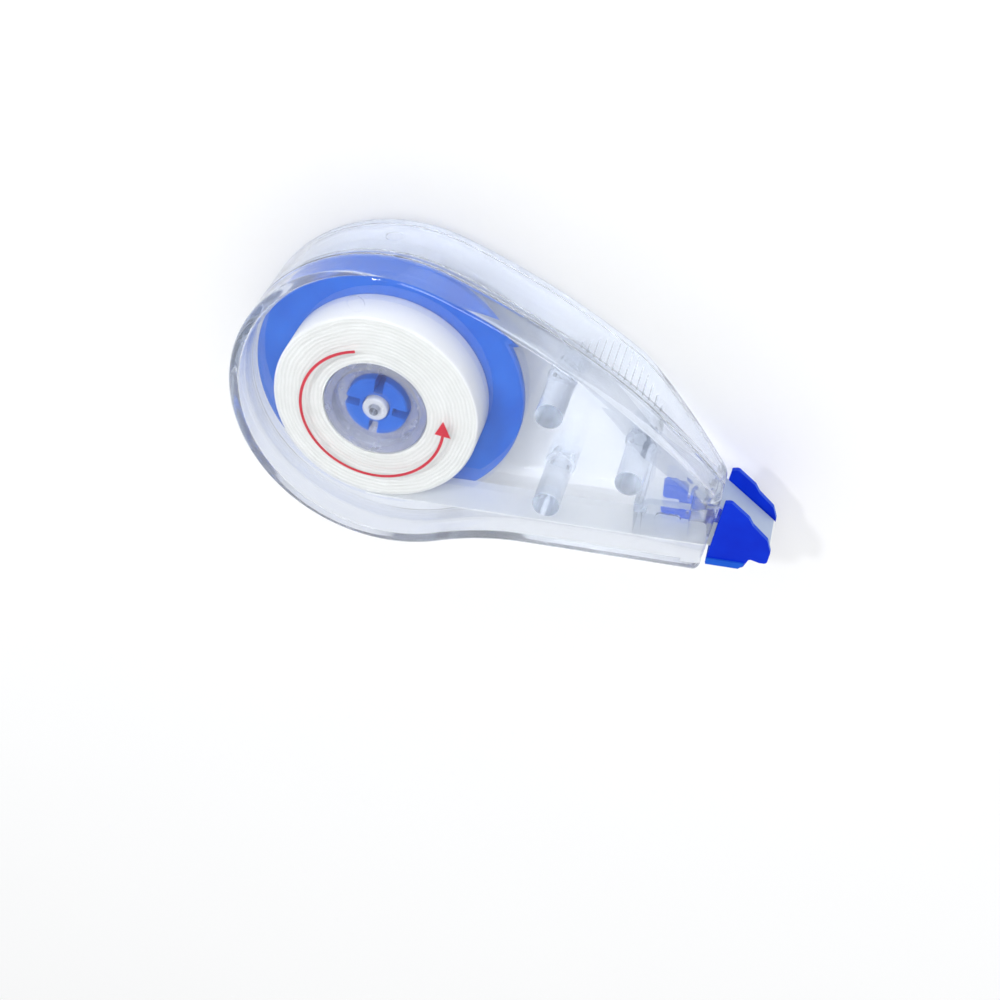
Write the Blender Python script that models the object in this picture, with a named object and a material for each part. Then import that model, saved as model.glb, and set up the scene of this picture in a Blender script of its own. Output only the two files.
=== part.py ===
"""Correction tape roller: a clear two-part case, a coaxial pair of reels and a nose tip.

X runs from the round end to the tip, Y lies across the case and Z is its thickness.
The case lies on the flat outer face of its rear shell (Z = 0).  Both reels turn
about the vertical line X = 0, Y = 0.  Lengths are millimetres until a mesh is made.
"""
import math

import bmesh
import bpy
from mathutils import Vector

MM = 0.001

# Driving dimensions
TAPE_WIDTH = 5.0
ROLL_RADIUS = 11.5
ROLL_BORE_RADIUS = 5.85
DISC_RADIUS = 15.3
DRUM_RADIUS = 11.9
WRAP_RADIUS = 12.3
HUB_RADIUS = 3.5
AXLE_RADIUS = 1.4
CASE_THICKNESS = 13.8
WALL = 1.0
END_RADIUS = 17.5
END_CENTRE = Vector((1.0, -0.1))
BACK_RADIUS = 86.7
NOSE_TOP = Vector((38.0, -4.65))
NOSE_BOTTOM = Vector((36.2, -14.8))
BELLY_RADIUS = 30.0
NOSE_LIFT = 6.2
LIFT_START = 27.0
LIFT_CURVE = 1.25
PARTING_HEIGHT = 9.4
PARTING_NOSE_RISE = 1.0

# Clearances: turning parts, beside a reel, between the shells, at the end of a pin,
# between fixed parts, and between a ribbon and the guide it lies on
RUNNING_FIT = 0.1
SIDE_GAP = 0.2
PART_GAP = 0.15
SEAT_GAP = 0.3
PRESS_FIT = 0.1
RIBBON_FIT = 0.06

# Heights of the two tape lanes and the reel disc between them
WINDOW_INSIDE = CASE_THICKNESS - WALL
ROLL_TOP = WINDOW_INSIDE - 2 * SIDE_GAP
ROLL_BOTTOM = ROLL_TOP - TAPE_WIDTH
DISC_TOP = ROLL_BOTTOM - SIDE_GAP
DISC_THICKNESS = 0.8
DISC_BOTTOM = DISC_TOP - DISC_THICKNESS
LINER_TOP = DISC_BOTTOM - RUNNING_FIT
LINER_BOTTOM = LINER_TOP - TAPE_WIDTH
COLLAR_TOP = WALL + 0.12
REEL_BOTTOM = COLLAR_TOP + RUNNING_FIT

# Case edges, lip and grip
REAR_FILLET = 2.6
FRONT_FILLET = 1.2
FLOOR_FILLET = 1.2
NOSE_CORNER = 0.8
SHARPEST_CORNER = 0.15
LIP_DEPTH = 1.3
LIP_INSET = 0.6
LIP_FIT = 0.1
FILLET_STEPS = 4
GRIP_COUNT = 14
GRIP_PITCH = 0.67
GRIP_WIDTH = 0.24
GRIP_PROUD = 0.22
GRIP_FIRST_X = 21.6
GRIP_TOP_GAP = 0.5
GRIP_FOOT = 3.4

# Guide pegs: centre, and the height where the front peg meets the rear socket
PEGS = {"low_peg": (19.1, -9.1), "high_peg": (19.2, 2.6), "nose_peg": (28.0, -4.6)}
PEG_RADIUS = 1.5
SOCKET_RADIUS = 1.75
PEG_SPLIT = 5.6
PIN_RADIUS = 0.8
PIN_LENGTH = 1.8

# Tip
RIBBON_THICKNESS = 0.14
TIP_EDGE = Vector((43.1, -11.3))
TIP_EDGE_RADIUS = 0.3
SHOULDER = Vector((37.4, -7.1))
SHOULDER_RADIUS = 0.8
CHEEK_THICKNESS = 0.6
CHEEK_GAP = 0.15
NOSE_GAP = 0.3
TIP_FLOOR = ROLL_BOTTOM - CHEEK_GAP - CHEEK_THICKNESS
TIP_ROOF = ROLL_TOP + CHEEK_GAP + CHEEK_THICKNESS
BLADE_LEFT = 29.1
BLADE_TOP = -7.2

# Corners of a cheek with their rounding: heel, toe and notch of the foot, the lip round
# the tape's edge, the slope back up with its step, and the top by the nose
CHEEK_CORNERS = [
    ((36.5 + NOSE_GAP, -13.7), 0.2),
    ((40.9, -13.5), 0.4),
    ((41.5, -12.2), 0.3),
    ((42.6, -12.5), 0.2),
    ((43.4, -12.5), 0.4),
    ((43.65, -10.9), 0.5),
    ((43.2, -9.4), 0.4),
    ((41.5, -7.7), 0.5),
    ((41.0, -6.8), 0.6),
    ((39.0, -5.05), 0.5),
    ((38.0 + NOSE_GAP, -5.2), 0.15),
]

# The foot that joins the cheeks (low corner, high corner) and the arm inside the nose
FOOT_BOX = ((36.9, -13.6), (41.0, -12.8))
FOOT_CHAMFER = 0.55
ARM_CORNERS = [
    ((31.0, -11.0), 0.8),
    ((38.6, -12.2), 0.3),
    ((39.4, -7.0), 0.3),
    ((37.4, -6.3), 0.3),
    ((31.8, -7.3), 0.8),
]


# ---------------------------------------------------------------- scene and materials

def clear_scene():
    for thing in list(bpy.data.objects):
        bpy.data.objects.remove(thing, do_unlink=True)


def plastic(name, colour, roughness, alpha=1.0, transmission=0.0):
    material = bpy.data.materials.new(name)
    material.use_nodes = True
    shader = material.node_tree.nodes["Principled BSDF"]
    shader.inputs["Base Color"].default_value = (*colour, 1.0)
    shader.inputs["Roughness"].default_value = roughness
    shader.inputs["Metallic"].default_value = 0.0
    shader.inputs["Alpha"].default_value = alpha
    shader.inputs["Transmission Weight"].default_value = transmission
    material.diffuse_color = (*colour, alpha)
    return material


def add_object(name, bm, material, smooth_angle=30.0):
    bmesh.ops.recalc_face_normals(bm, faces=bm.faces)
    mesh = bpy.data.meshes.new(name)
    bm.to_mesh(mesh)
    bm.free()
    mesh.shade_smooth()
    mesh.set_sharp_from_angle(angle=math.radians(smooth_angle))
    mesh.materials.append(material)
    thing = bpy.data.objects.new(name, mesh)
    bpy.context.scene.collection.objects.link(thing)
    return thing


def boolean(target, cutter, operation):
    modifier = target.modifiers.new(cutter.name, "BOOLEAN")
    modifier.operation = operation
    modifier.solver = "EXACT"
    modifier.object = cutter
    cutter.hide_render = True
    cutter.display_type = "WIRE"


# ---------------------------------------------------------------- plain solids

def turned(bm, profile, centre=(0.0, 0.0), segments=48):
    """Revolve a closed (radius, z) profile; points on the axis become one vertex."""
    columns = []
    for radius, z in profile:
        if radius == 0.0:
            columns.append([bm.verts.new((centre[0] * MM, centre[1] * MM, z * MM))])
            continue
        ring = []
        for k in range(segments):
            angle = math.tau * k / segments
            x = centre[0] + radius * math.cos(angle)
            y = centre[1] + radius * math.sin(angle)
            ring.append(bm.verts.new((x * MM, y * MM, z * MM)))
        columns.append(ring)
    for here, there in zip(columns, columns[1:] + columns[:1]):
        if len(here) == 1 and len(there) == 1:
            continue
        for k in range(segments):
            corners = [here[k % len(here)], here[(k + 1) % len(here)]]
            corners += [there[(k + 1) % len(there)], there[k % len(there)]]
            bm.faces.new(list(dict.fromkeys(corners)))


def extruded(bm, outline, bottom, top):
    """Prism of a closed (x, y) outline between two heights."""
    low = [bm.verts.new((x * MM, y * MM, bottom * MM)) for x, y in outline]
    high = [bm.verts.new((x * MM, y * MM, top * MM)) for x, y in outline]
    bm.faces.new(low)
    bm.faces.new(high)
    for k in range(len(outline)):
        after = (k + 1) % len(outline)
        bm.faces.new((low[k], low[after], high[after], high[k]))


def box(bm, low, high):
    outline = [(low[0], low[1]), (high[0], low[1]), (high[0], high[1]), (low[0], high[1])]
    extruded(bm, outline, low[2], high[2])


def arc(centre, radius, start, end, steps):
    """Points on an arc from start to end (degrees), both ends included."""
    points = []
    for k in range(steps + 1):
        angle = math.radians(start + (end - start) * k / steps)
        points.append(Vector((centre[0] + radius * math.cos(angle),
                              centre[1] + radius * math.sin(angle))))
    return points


def rounded_corner(before, corner, after, radius, steps):
    """Arc that rounds one convex or concave corner of an outline."""
    to_before = (before - corner).normalized()
    to_after = (after - corner).normalized()
    half = to_before.angle(to_after) / 2
    reach = radius / math.tan(half)
    start = corner + to_before * reach
    middle = corner + (to_before + to_after).normalized() * (radius / math.sin(half))
    end = corner + to_after * reach
    points = []
    for k in range(steps + 1):
        spoke = (start - middle).lerp(end - middle, k / steps)
        points.append(middle + spoke.normalized() * radius)
    return points


def rounded_polygon(corners, steps=3):
    """Closed outline through (corner, radius) pairs, each corner rounded by its radius."""
    points = []
    for k, (corner, radius) in enumerate(corners):
        before = Vector(corners[k - 1][0])
        after = Vector(corners[(k + 1) % len(corners)][0])
        points += rounded_corner(before, Vector(corner), after, radius, steps)
    return points


# ---------------------------------------------------------------- case outline

def degrees_of(vector):
    return math.degrees(math.atan2(vector[1], vector[0]))


def back_centre():
    """Centre of the long back arc: tangent to the round end, through the nose top."""
    reach = NOSE_TOP - END_CENTRE
    spread = BACK_RADIUS - END_RADIUS
    along = (BACK_RADIUS ** 2 - spread ** 2 - reach.length_squared) / (2 * spread)
    angle = math.atan2(reach.y, reach.x) + math.acos(along / reach.length)
    return END_CENTRE - spread * Vector((math.cos(angle), math.sin(angle)))


def belly_centre():
    """Centre of the hollow arc between the round end and the straight belly."""
    drop = END_CENTRE.y - (NOSE_BOTTOM.y - BELLY_RADIUS)
    reach = math.sqrt((END_RADIUS + BELLY_RADIUS) ** 2 - drop ** 2)
    return Vector((END_CENTRE.x + reach, NOSE_BOTTOM.y - BELLY_RADIUS))


def nose_corners(inset):
    """Where the nose line, moved inwards, meets the back arc and the belly line."""
    along = (NOSE_TOP - NOSE_BOTTOM).normalized()
    inwards = Vector((-along.y, along.x))
    start = NOSE_BOTTOM + inwards * inset
    rise = (NOSE_BOTTOM.y + inset - start.y) / along.y
    bottom = start + along * rise
    offset = start - back_centre()
    middle = offset.dot(along)
    radius = BACK_RADIUS - inset
    reach = math.sqrt(middle ** 2 - offset.length_squared + radius ** 2)
    top = start + along * (reach - middle)
    return top, bottom


def case_outline(inset):
    """Upper and lower chains of the case outline, from the round end to the nose.

    Both chains hold the same number of points at similar X, so a floor can be laid
    between them as a ladder of quads.
    """
    top, bottom = nose_corners(inset)
    back = back_centre()
    belly = belly_centre()
    end_radius = END_RADIUS - inset
    leave_back = degrees_of(END_CENTRE - back)
    leave_belly = degrees_of(belly - END_CENTRE) + 360.0
    reach_top = degrees_of(top - back)
    end_steps, belly_steps, line_steps, corner_steps = 24, 6, 12, 4
    upper = arc(END_CENTRE, end_radius, 180.0, leave_back, end_steps)
    upper += arc(back, BACK_RADIUS - inset, leave_back, reach_top, belly_steps + line_steps)[1:]
    lower = arc(END_CENTRE, end_radius, 180.0, leave_belly, end_steps)
    turn_in = leave_belly - 180.0
    lower += arc(belly, BELLY_RADIUS + inset, turn_in, 90.0, belly_steps)[1:]
    line_start = lower[-1]
    for k in range(1, line_steps + 1):
        lower.append(line_start.lerp(bottom, k / line_steps))
    corner = max(NOSE_CORNER - inset, SHARPEST_CORNER)
    upper = upper[:-1] + rounded_corner(upper[-2], top, bottom, corner, corner_steps)
    lower = lower[:-1] + rounded_corner(lower[-2], bottom, top, corner, corner_steps)
    return upper, lower


def ramp(x):
    """0 over the reels, growing to 1 at the end of the nose."""
    reach = min(max((x - LIFT_START) / (NOSE_TOP.x - LIFT_START), 0.0), 1.0)
    return reach ** LIFT_CURVE


def floor_height(x):
    return NOSE_LIFT * ramp(x)


def parting_height(x):
    return PARTING_HEIGHT + PARTING_NOSE_RISE * ramp(x)


def shell_body(bm, levels):
    """Closed shell from a stack of (inset, height function) rings.

    The first and the last ring are closed by ladders of quads.
    """
    rings = []
    for inset, height in levels:
        upper, lower = case_outline(inset)
        loop = lower + upper[:0:-1]
        rings.append([bm.verts.new((p.x * MM, p.y * MM, height(p.x) * MM)) for p in loop])
    count = len(rings[0])
    for here, there in zip(rings, rings[1:]):
        for k in range(count):
            after = (k + 1) % count
            bm.faces.new((here[k], here[after], there[after], there[k]))
    steps = (count - 1) // 2
    for ring in (rings[0], rings[-1]):
        bm.faces.new((ring[0], ring[1], ring[-1]))
        for k in range(1, steps):
            bm.faces.new((ring[k], ring[k + 1], ring[-k - 1], ring[-k]))


def fillet_levels(radius, height, first_inset, upwards):
    """Rings of a quarter-round edge, from the flat face out to the side wall."""
    levels = []
    for k in range(FILLET_STEPS + 1):
        angle = math.pi / 2 * k / FILLET_STEPS
        inset = first_inset + radius * (1 - math.sin(angle))
        climb = radius * (1 - math.cos(angle))
        if not upwards:
            climb = -climb
        levels.append((inset, lambda x, climb=climb: height(x) + climb))
    return levels


# ---------------------------------------------------------------- case parts

def grip_ribs(material):
    """Fine ribs across the back of the rear shell; their lengths make an almond patch."""
    centre = back_centre()
    bm = bmesh.new()
    for k in range(GRIP_COUNT):
        x = GRIP_FIRST_X + GRIP_PITCH * k
        angle = math.acos((x - centre.x) / BACK_RADIUS)
        outwards = Vector((math.cos(angle), math.sin(angle)))
        along = Vector((-outwards.y, outwards.x))
        surface = centre + outwards * BACK_RADIUS
        inner = surface - outwards * GRIP_PROUD
        outer = surface + outwards * GRIP_PROUD
        half = along * (GRIP_WIDTH / 2)
        outline = [inner - half, outer - half / 2, outer + half / 2, inner + half]
        swell = math.sin(math.pi * (k + 1) / (GRIP_COUNT + 1))
        top = parting_height(x) - GRIP_TOP_GAP
        bottom = top - (top - floor_height(x) - GRIP_FOOT) * swell
        extruded(bm, outline, bottom, top)
    return add_object("grip_ribs", bm, material)


def rear_shell(material):
    levels = fillet_levels(REAR_FILLET, floor_height, 0.0, True)
    levels += [(0.0, parting_height)]
    rebate = LIP_INSET - LIP_FIT
    levels += [(rebate, parting_height)]
    levels += [(rebate, lambda x: parting_height(x) - LIP_DEPTH - LIP_FIT)]
    levels += [(WALL, lambda x: parting_height(x) - LIP_DEPTH - LIP_FIT)]
    inside = fillet_levels(FLOOR_FILLET, lambda x: floor_height(x) + WALL, WALL, True)
    levels += inside[::-1]
    bm = bmesh.new()
    shell_body(bm, levels)
    return add_object("rear_shell", bm, material)


def rear_posts(material):
    """Axle post and the three peg sockets, standing on the floor of the rear shell."""
    bm = bmesh.new()
    root = WALL / 2
    bore_radius = 0.65
    bore_depth = 3.0
    collar_radius = 2.6
    turned(bm, [(0.0, root), (collar_radius, root), (collar_radius, COLLAR_TOP),
                (AXLE_RADIUS, COLLAR_TOP), (AXLE_RADIUS, ROLL_TOP),
                (bore_radius, ROLL_TOP), (bore_radius, ROLL_TOP - bore_depth),
                (0.0, ROLL_TOP - bore_depth)], segments=40)
    socket_bore = PIN_RADIUS + RUNNING_FIT
    socket_top = PEG_SPLIT - SEAT_GAP
    socket_floor = socket_top - PIN_LENGTH - SEAT_GAP
    ramp_cover = 0.25
    for centre in PEGS.values():
        foot = max(root, floor_height(centre[0] + SOCKET_RADIUS) + ramp_cover)
        turned(bm, [(0.0, foot), (SOCKET_RADIUS, foot), (SOCKET_RADIUS, socket_top),
                    (socket_bore, socket_top), (socket_bore, socket_floor),
                    (0.0, socket_floor)], centre, segments=28)
    return add_object("rear_posts", bm, material)


def front_shell(material):
    levels = fillet_levels(FRONT_FILLET, lambda x: CASE_THICKNESS, 0.0, False)
    levels += [(0.0, lambda x: parting_height(x) + PART_GAP)]
    levels += [(LIP_INSET, lambda x: parting_height(x) + PART_GAP)]
    levels += [(LIP_INSET, lambda x: parting_height(x) - LIP_DEPTH)]
    levels += [(WALL, lambda x: parting_height(x) - LIP_DEPTH)]
    levels += [(WALL, lambda x: WINDOW_INSIDE)]
    bm = bmesh.new()
    shell_body(bm, levels)
    return add_object("front_shell", bm, material)


def front_pegs(material):
    """Axle pin and the three guide pegs, hanging from the window of the front shell."""
    bm = bmesh.new()
    root = CASE_THICKNESS - WALL / 2
    axle_pin_radius = 0.5
    axle_pin_length = 2.4
    turned(bm, [(0.0, root), (axle_pin_radius, root),
                (axle_pin_radius, WINDOW_INSIDE - axle_pin_length),
                (0.0, WINDOW_INSIDE - axle_pin_length)], segments=24)
    for centre in PEGS.values():
        turned(bm, [(0.0, root), (PEG_RADIUS, root), (PEG_RADIUS, PEG_SPLIT),
                    (PIN_RADIUS, PEG_SPLIT), (PIN_RADIUS, PEG_SPLIT - PIN_LENGTH),
                    (0.0, PEG_SPLIT - PIN_LENGTH)], centre, segments=28)
    return add_object("front_pegs", bm, material)


def nose_mouth(material):
    """Cutter for the opening in the nose wall that the tip looks out of."""
    bm = bmesh.new()
    side_margin = 0.9
    overrun = 0.1
    along = NOSE_TOP - NOSE_BOTTOM
    low = NOSE_BOTTOM + along * (side_margin / along.length)
    high = NOSE_TOP - along * (side_margin / along.length)
    reach = Vector((2.2 * WALL, 0.0))
    outline = [low - reach, low + reach, high + reach, high - reach]
    extruded(bm, outline, TIP_FLOOR - PART_GAP, WINDOW_INSIDE + overrun)
    return add_object("nose_mouth", bm, material)


# ---------------------------------------------------------------- reels

def supply_core(material):
    """Clear tube that the tape is wound on, with a web that runs on the blue hub."""
    tube_outside = ROLL_BORE_RADIUS - PRESS_FIT
    tube_wall = 0.9
    tube_inside = tube_outside - tube_wall
    web_inside = HUB_RADIUS + RUNNING_FIT
    web_depth = 1.5
    web_thickness = 1.2
    web_top = ROLL_TOP - web_depth
    web_bottom = web_top - web_thickness
    bm = bmesh.new()
    turned(bm, [(tube_outside, ROLL_BOTTOM), (tube_outside, ROLL_TOP),
                (tube_inside, ROLL_TOP), (tube_inside, web_top), (web_inside, web_top),
                (web_inside, web_bottom), (tube_inside, web_bottom),
                (tube_inside, ROLL_BOTTOM)], segments=56)
    return add_object("supply_core", bm, material)


def tape_roll(material):
    edge = 0.12
    bm = bmesh.new()
    turned(bm, [(ROLL_BORE_RADIUS, ROLL_BOTTOM), (ROLL_RADIUS - edge, ROLL_BOTTOM),
                (ROLL_RADIUS, ROLL_BOTTOM + edge), (ROLL_RADIUS, ROLL_TOP - edge),
                (ROLL_RADIUS - edge, ROLL_TOP), (ROLL_BORE_RADIUS, ROLL_TOP)],
           segments=96)
    return add_object("tape_roll", bm, material)


def takeup_reel(material):
    """Flange disc, drum and fingered hub, moulded in one piece."""
    bore = AXLE_RADIUS + RUNNING_FIT
    hub_recess = 0.5
    hub_top = ROLL_TOP - hub_recess
    drum_wall = 0.9
    drum_inside = DRUM_RADIUS - drum_wall
    edge = 0.2
    bm = bmesh.new()
    turned(bm, [(bore, REEL_BOTTOM), (HUB_RADIUS, REEL_BOTTOM), (HUB_RADIUS, DISC_BOTTOM),
                (drum_inside, DISC_BOTTOM), (drum_inside, REEL_BOTTOM),
                (DRUM_RADIUS, REEL_BOTTOM), (DRUM_RADIUS, DISC_BOTTOM),
                (DISC_RADIUS - edge, DISC_BOTTOM), (DISC_RADIUS, DISC_BOTTOM + edge),
                (DISC_RADIUS, DISC_TOP - edge), (DISC_RADIUS - edge, DISC_TOP),
                (HUB_RADIUS, DISC_TOP), (HUB_RADIUS, hub_top - edge),
                (HUB_RADIUS - edge, hub_top), (bore, hub_top)], segments=72)
    reel = add_object("takeup_reel", bm, material)
    boolean(reel, finger_slots(hub_top, material), "DIFFERENCE")
    return reel


def finger_slots(hub_top, material):
    """Four slots that part the front of the hub into friction fingers."""
    slot_count = 4
    first_slot = 80.0
    slot_depth = 3.6
    slot_half = 0.45
    sleeve_wall = 0.45
    overrun = 1.0
    inner = AXLE_RADIUS + RUNNING_FIT + sleeve_wall
    outer = HUB_RADIUS + overrun
    bm = bmesh.new()
    for k in range(slot_count):
        angle = math.radians(first_slot + 360.0 * k / slot_count)
        out = Vector((math.cos(angle), math.sin(angle)))
        side = Vector((-out.y, out.x)) * slot_half
        outline = [out * inner - side, out * outer - side, out * outer + side,
                   out * inner + side]
        extruded(bm, outline, hub_top - slot_depth, hub_top + overrun)
    return add_object("finger_slots", bm, material)


def liner_wrap(material):
    """The first turns of spent liner on the take-up drum."""
    bm = bmesh.new()
    inside = DRUM_RADIUS + PRESS_FIT
    turned(bm, [(inside, LINER_BOTTOM), (WRAP_RADIUS, LINER_BOTTOM),
                (WRAP_RADIUS, LINER_TOP), (inside, LINER_TOP)], segments=72)
    return add_object("liner_wrap", bm, material)


# ---------------------------------------------------------------- tape paths

def ribbon(name, path, lows, material):
    """Strip of tape: a path in XY, the height of its lower edge at each point."""
    bm = bmesh.new()
    sections = []
    for k, point in enumerate(path):
        ahead = path[min(k + 1, len(path) - 1)]
        behind = path[max(k - 1, 0)]
        along = (ahead - behind).normalized()
        side = Vector((-along.y, along.x)) * (RIBBON_THICKNESS / 2)
        low = lows[k]
        corners = [(point - side, low), (point + side, low),
                   (point + side, low + TAPE_WIDTH), (point - side, low + TAPE_WIDTH)]
        sections.append([bm.verts.new((p.x * MM, p.y * MM, z * MM)) for p, z in corners])
    for here, there in zip(sections, sections[1:]):
        for k in range(4):
            after = (k + 1) % 4
            bm.faces.new((here[k], here[after], there[after], there[k]))
    bm.faces.new(sections[0])
    bm.faces.new(sections[-1])
    return add_object(name, bm, material)


def wrap_offset(radius):
    """Centre line of a ribbon that lies on a round guide of the given radius."""
    return radius + RIBBON_FIT + RIBBON_THICKNESS / 2


# The tape stops, and the bare liner starts, this many degrees either side of the edge
END_OF_TAPE = 4.0


def tape_run(material):
    """Loaded tape, from under the supply roll, straight to the edge of the tip."""
    run_y = -wrap_offset(ROLL_RADIUS)
    edge_radius = wrap_offset(TIP_EDGE_RADIUS)
    blade_length = 7.0
    leave = arc((0.0, 0.0), -run_y, 262.0, 270.0, 3)
    underside = Vector((TIP_EDGE.x - blade_length, run_y))
    end_turn = arc(TIP_EDGE, edge_radius, -92.0, -END_OF_TAPE, 5)
    path = leave + [underside] + end_turn
    lows = [ROLL_BOTTOM] * len(path)
    return ribbon("tape_run", path, lows, material)


def leaving_angle(here, there, arrive):
    """Angle (degrees) where a belt over two round guides leaves the first one.

    Each guide is (centre, radius).  The turn nearest to the arrival angle is given.
    """
    reach = there[0] - here[0]
    lean = math.degrees(math.asin((here[1] - there[1]) / reach.length))
    leave = degrees_of(reach) - 90.0 + lean
    return leave + 360.0 * round((arrive - leave) / 360.0)


def liner_return_run(material):
    """Spent liner: over the tip, over two pegs and across to the take-up drum."""
    guides = [(TIP_EDGE, wrap_offset(TIP_EDGE_RADIUS)),
              (SHOULDER, wrap_offset(SHOULDER_RADIUS)),
              (Vector(PEGS["nose_peg"]), wrap_offset(SOCKET_RADIUS)),
              (Vector(PEGS["high_peg"]), wrap_offset(SOCKET_RADIUS)),
              (Vector((0.0, 0.0)), wrap_offset(WRAP_RADIUS))]
    path = []
    arrive = END_OF_TAPE
    lap_on_drum = 6.0
    for here, there in zip(guides, guides[1:]):
        leave = leaving_angle(here, there, arrive)
        path += arc(here[0], here[1], arrive, leave, 4)
        arrive = leave
    centre, radius = guides[-1]
    path += arc(centre, radius, arrive, arrive + lap_on_drum, 2)[1:]
    path = path_with_steps(path)
    shift_start, shift_end = 35.0, 20.5
    lows = []
    for point in path:
        share = min(max((shift_start - point.x) / (shift_start - shift_end), 0.0), 1.0)
        lows.append(ROLL_BOTTOM + (LINER_BOTTOM - ROLL_BOTTOM) * share)
    return ribbon("liner_return_run", path, lows, material)


def path_with_steps(path, longest=1.5):
    """The same path with its long straight stretches divided."""
    points = [path[0]]
    for here, there in zip(path, path[1:]):
        pieces = max(1, math.ceil((there - here).length / longest))
        points += [here.lerp(there, k / pieces) for k in range(1, pieces + 1)]
    return points


# ---------------------------------------------------------------- tip

def tip_blade(material):
    """Clear wedge that presses the tape down, with its mounting block in the nose."""
    run_y = -wrap_offset(ROLL_RADIUS)
    belly = run_y + RIBBON_THICKNESS / 2 + RIBBON_FIT
    chamfer = 1.2
    edge_run = 2.0
    slope = leaving_angle((TIP_EDGE, TIP_EDGE_RADIUS), (SHOULDER, SHOULDER_RADIUS), 0.0)
    outline = [(BLADE_LEFT, belly), (TIP_EDGE.x - edge_run, belly)]
    outline += arc(TIP_EDGE, TIP_EDGE_RADIUS, -90.0, slope, 5)
    outline += arc(SHOULDER, SHOULDER_RADIUS, slope, 90.0, 4)
    outline += [(SHOULDER.x - edge_run, BLADE_TOP), (BLADE_LEFT + chamfer, BLADE_TOP),
                (BLADE_LEFT, BLADE_TOP - chamfer)]
    bm = bmesh.new()
    extruded(bm, outline, ROLL_BOTTOM, ROLL_TOP)
    blade = add_object("tip_blade", bm, material)
    web_thickness = 0.9
    web_overrun = 0.1
    web_bottom = floor_height(BLADE_LEFT + web_thickness) + WALL + SEAT_GAP
    bm = bmesh.new()
    box(bm, (BLADE_LEFT - web_thickness / 2, belly, web_bottom),
        (BLADE_LEFT + web_thickness / 2, BLADE_TOP, ROLL_TOP + web_overrun))
    boolean(blade, add_object("blade_web", bm, material), "UNION")
    return blade


def cut_corners(box_corners, chamfer):
    """Foot outline: a rectangle whose lower right corner is cut off."""
    (left, low), (right, high) = box_corners
    return [(left, low), (right - chamfer, low), (right, low + chamfer), (right, high),
            (left, high)]


def tip_guard(material):
    """Blue guard: two cheeks either side of the blade, joined by a foot below it."""
    foot_proud = 0.2
    arm_step = 0.05
    plates = {
        "rear_cheek": (rounded_polygon(CHEEK_CORNERS), TIP_FLOOR, ROLL_BOTTOM - CHEEK_GAP),
        "guard_foot": (cut_corners(FOOT_BOX, FOOT_CHAMFER), TIP_FLOOR - foot_proud,
                       TIP_ROOF + foot_proud),
        "guard_arm": (rounded_polygon(ARM_CORNERS), TIP_FLOOR + 2 * arm_step,
                      ROLL_BOTTOM - CHEEK_GAP - arm_step),
    }
    bm = bmesh.new()
    extruded(bm, rounded_polygon(CHEEK_CORNERS), ROLL_TOP + CHEEK_GAP, TIP_ROOF)
    guard = add_object("tip_guard", bm, material)
    for name, (outline, bottom, top) in plates.items():
        bm = bmesh.new()
        extruded(bm, outline, bottom, top)
        boolean(guard, add_object(name, bm, material), "UNION")
    return guard


def main():
    clear_scene()
    clear = plastic("clear_plastic", (0.80, 0.86, 0.94), 0.08, 0.35, 0.9)
    frosted = plastic("frosted_plastic", (0.78, 0.84, 0.93), 0.25, 0.6, 0.6)
    blue = plastic("blue_plastic", (0.01, 0.07, 0.62), 0.28)
    film = plastic("white_film", (0.83, 0.83, 0.80), 0.55)
    liner = plastic("grey_liner", (0.62, 0.67, 0.74), 0.45)

    rear = rear_shell(clear)
    mouth = nose_mouth(clear)
    boolean(rear, grip_ribs(clear), "UNION")
    boolean(rear, rear_posts(clear), "UNION")
    boolean(rear, mouth, "DIFFERENCE")
    front = front_shell(clear)
    boolean(front, front_pegs(clear), "UNION")
    boolean(front, mouth, "DIFFERENCE")

    supply_core(frosted)
    tape_roll(film)
    takeup_reel(blue)
    liner_wrap(liner)
    tape_run(film)
    liner_return_run(liner)
    tip_blade(frosted)
    tip_guard(blue)


main()
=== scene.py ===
"""Looks of the correction tape roller: clear case, blue reel and tip guard, white tape.

Lengths are millimetres until a mesh is made.  Sizes that the CAD already states are read
from the boxes of its nodes, so the finer pieces made here match the CAD pieces.
"""
import math

import bmesh
import bpy
from mathutils import Matrix, Vector


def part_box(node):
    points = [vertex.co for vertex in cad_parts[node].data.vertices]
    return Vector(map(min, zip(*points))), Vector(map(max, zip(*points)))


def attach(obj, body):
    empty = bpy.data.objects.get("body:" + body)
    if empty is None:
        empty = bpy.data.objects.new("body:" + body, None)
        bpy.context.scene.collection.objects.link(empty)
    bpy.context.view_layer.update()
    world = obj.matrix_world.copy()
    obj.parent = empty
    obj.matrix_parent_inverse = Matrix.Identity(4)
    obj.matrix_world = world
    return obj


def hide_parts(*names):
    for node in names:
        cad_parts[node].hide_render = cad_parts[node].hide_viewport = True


MM = 0.001

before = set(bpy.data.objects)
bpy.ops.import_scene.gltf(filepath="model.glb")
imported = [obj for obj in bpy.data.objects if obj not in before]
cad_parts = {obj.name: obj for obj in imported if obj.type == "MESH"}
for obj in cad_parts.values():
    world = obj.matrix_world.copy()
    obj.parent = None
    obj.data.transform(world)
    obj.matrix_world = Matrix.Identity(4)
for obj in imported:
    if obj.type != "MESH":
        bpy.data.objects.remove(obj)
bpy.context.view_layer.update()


def box_of(node):
    low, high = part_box(node)
    return low / MM, high / MM


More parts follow.
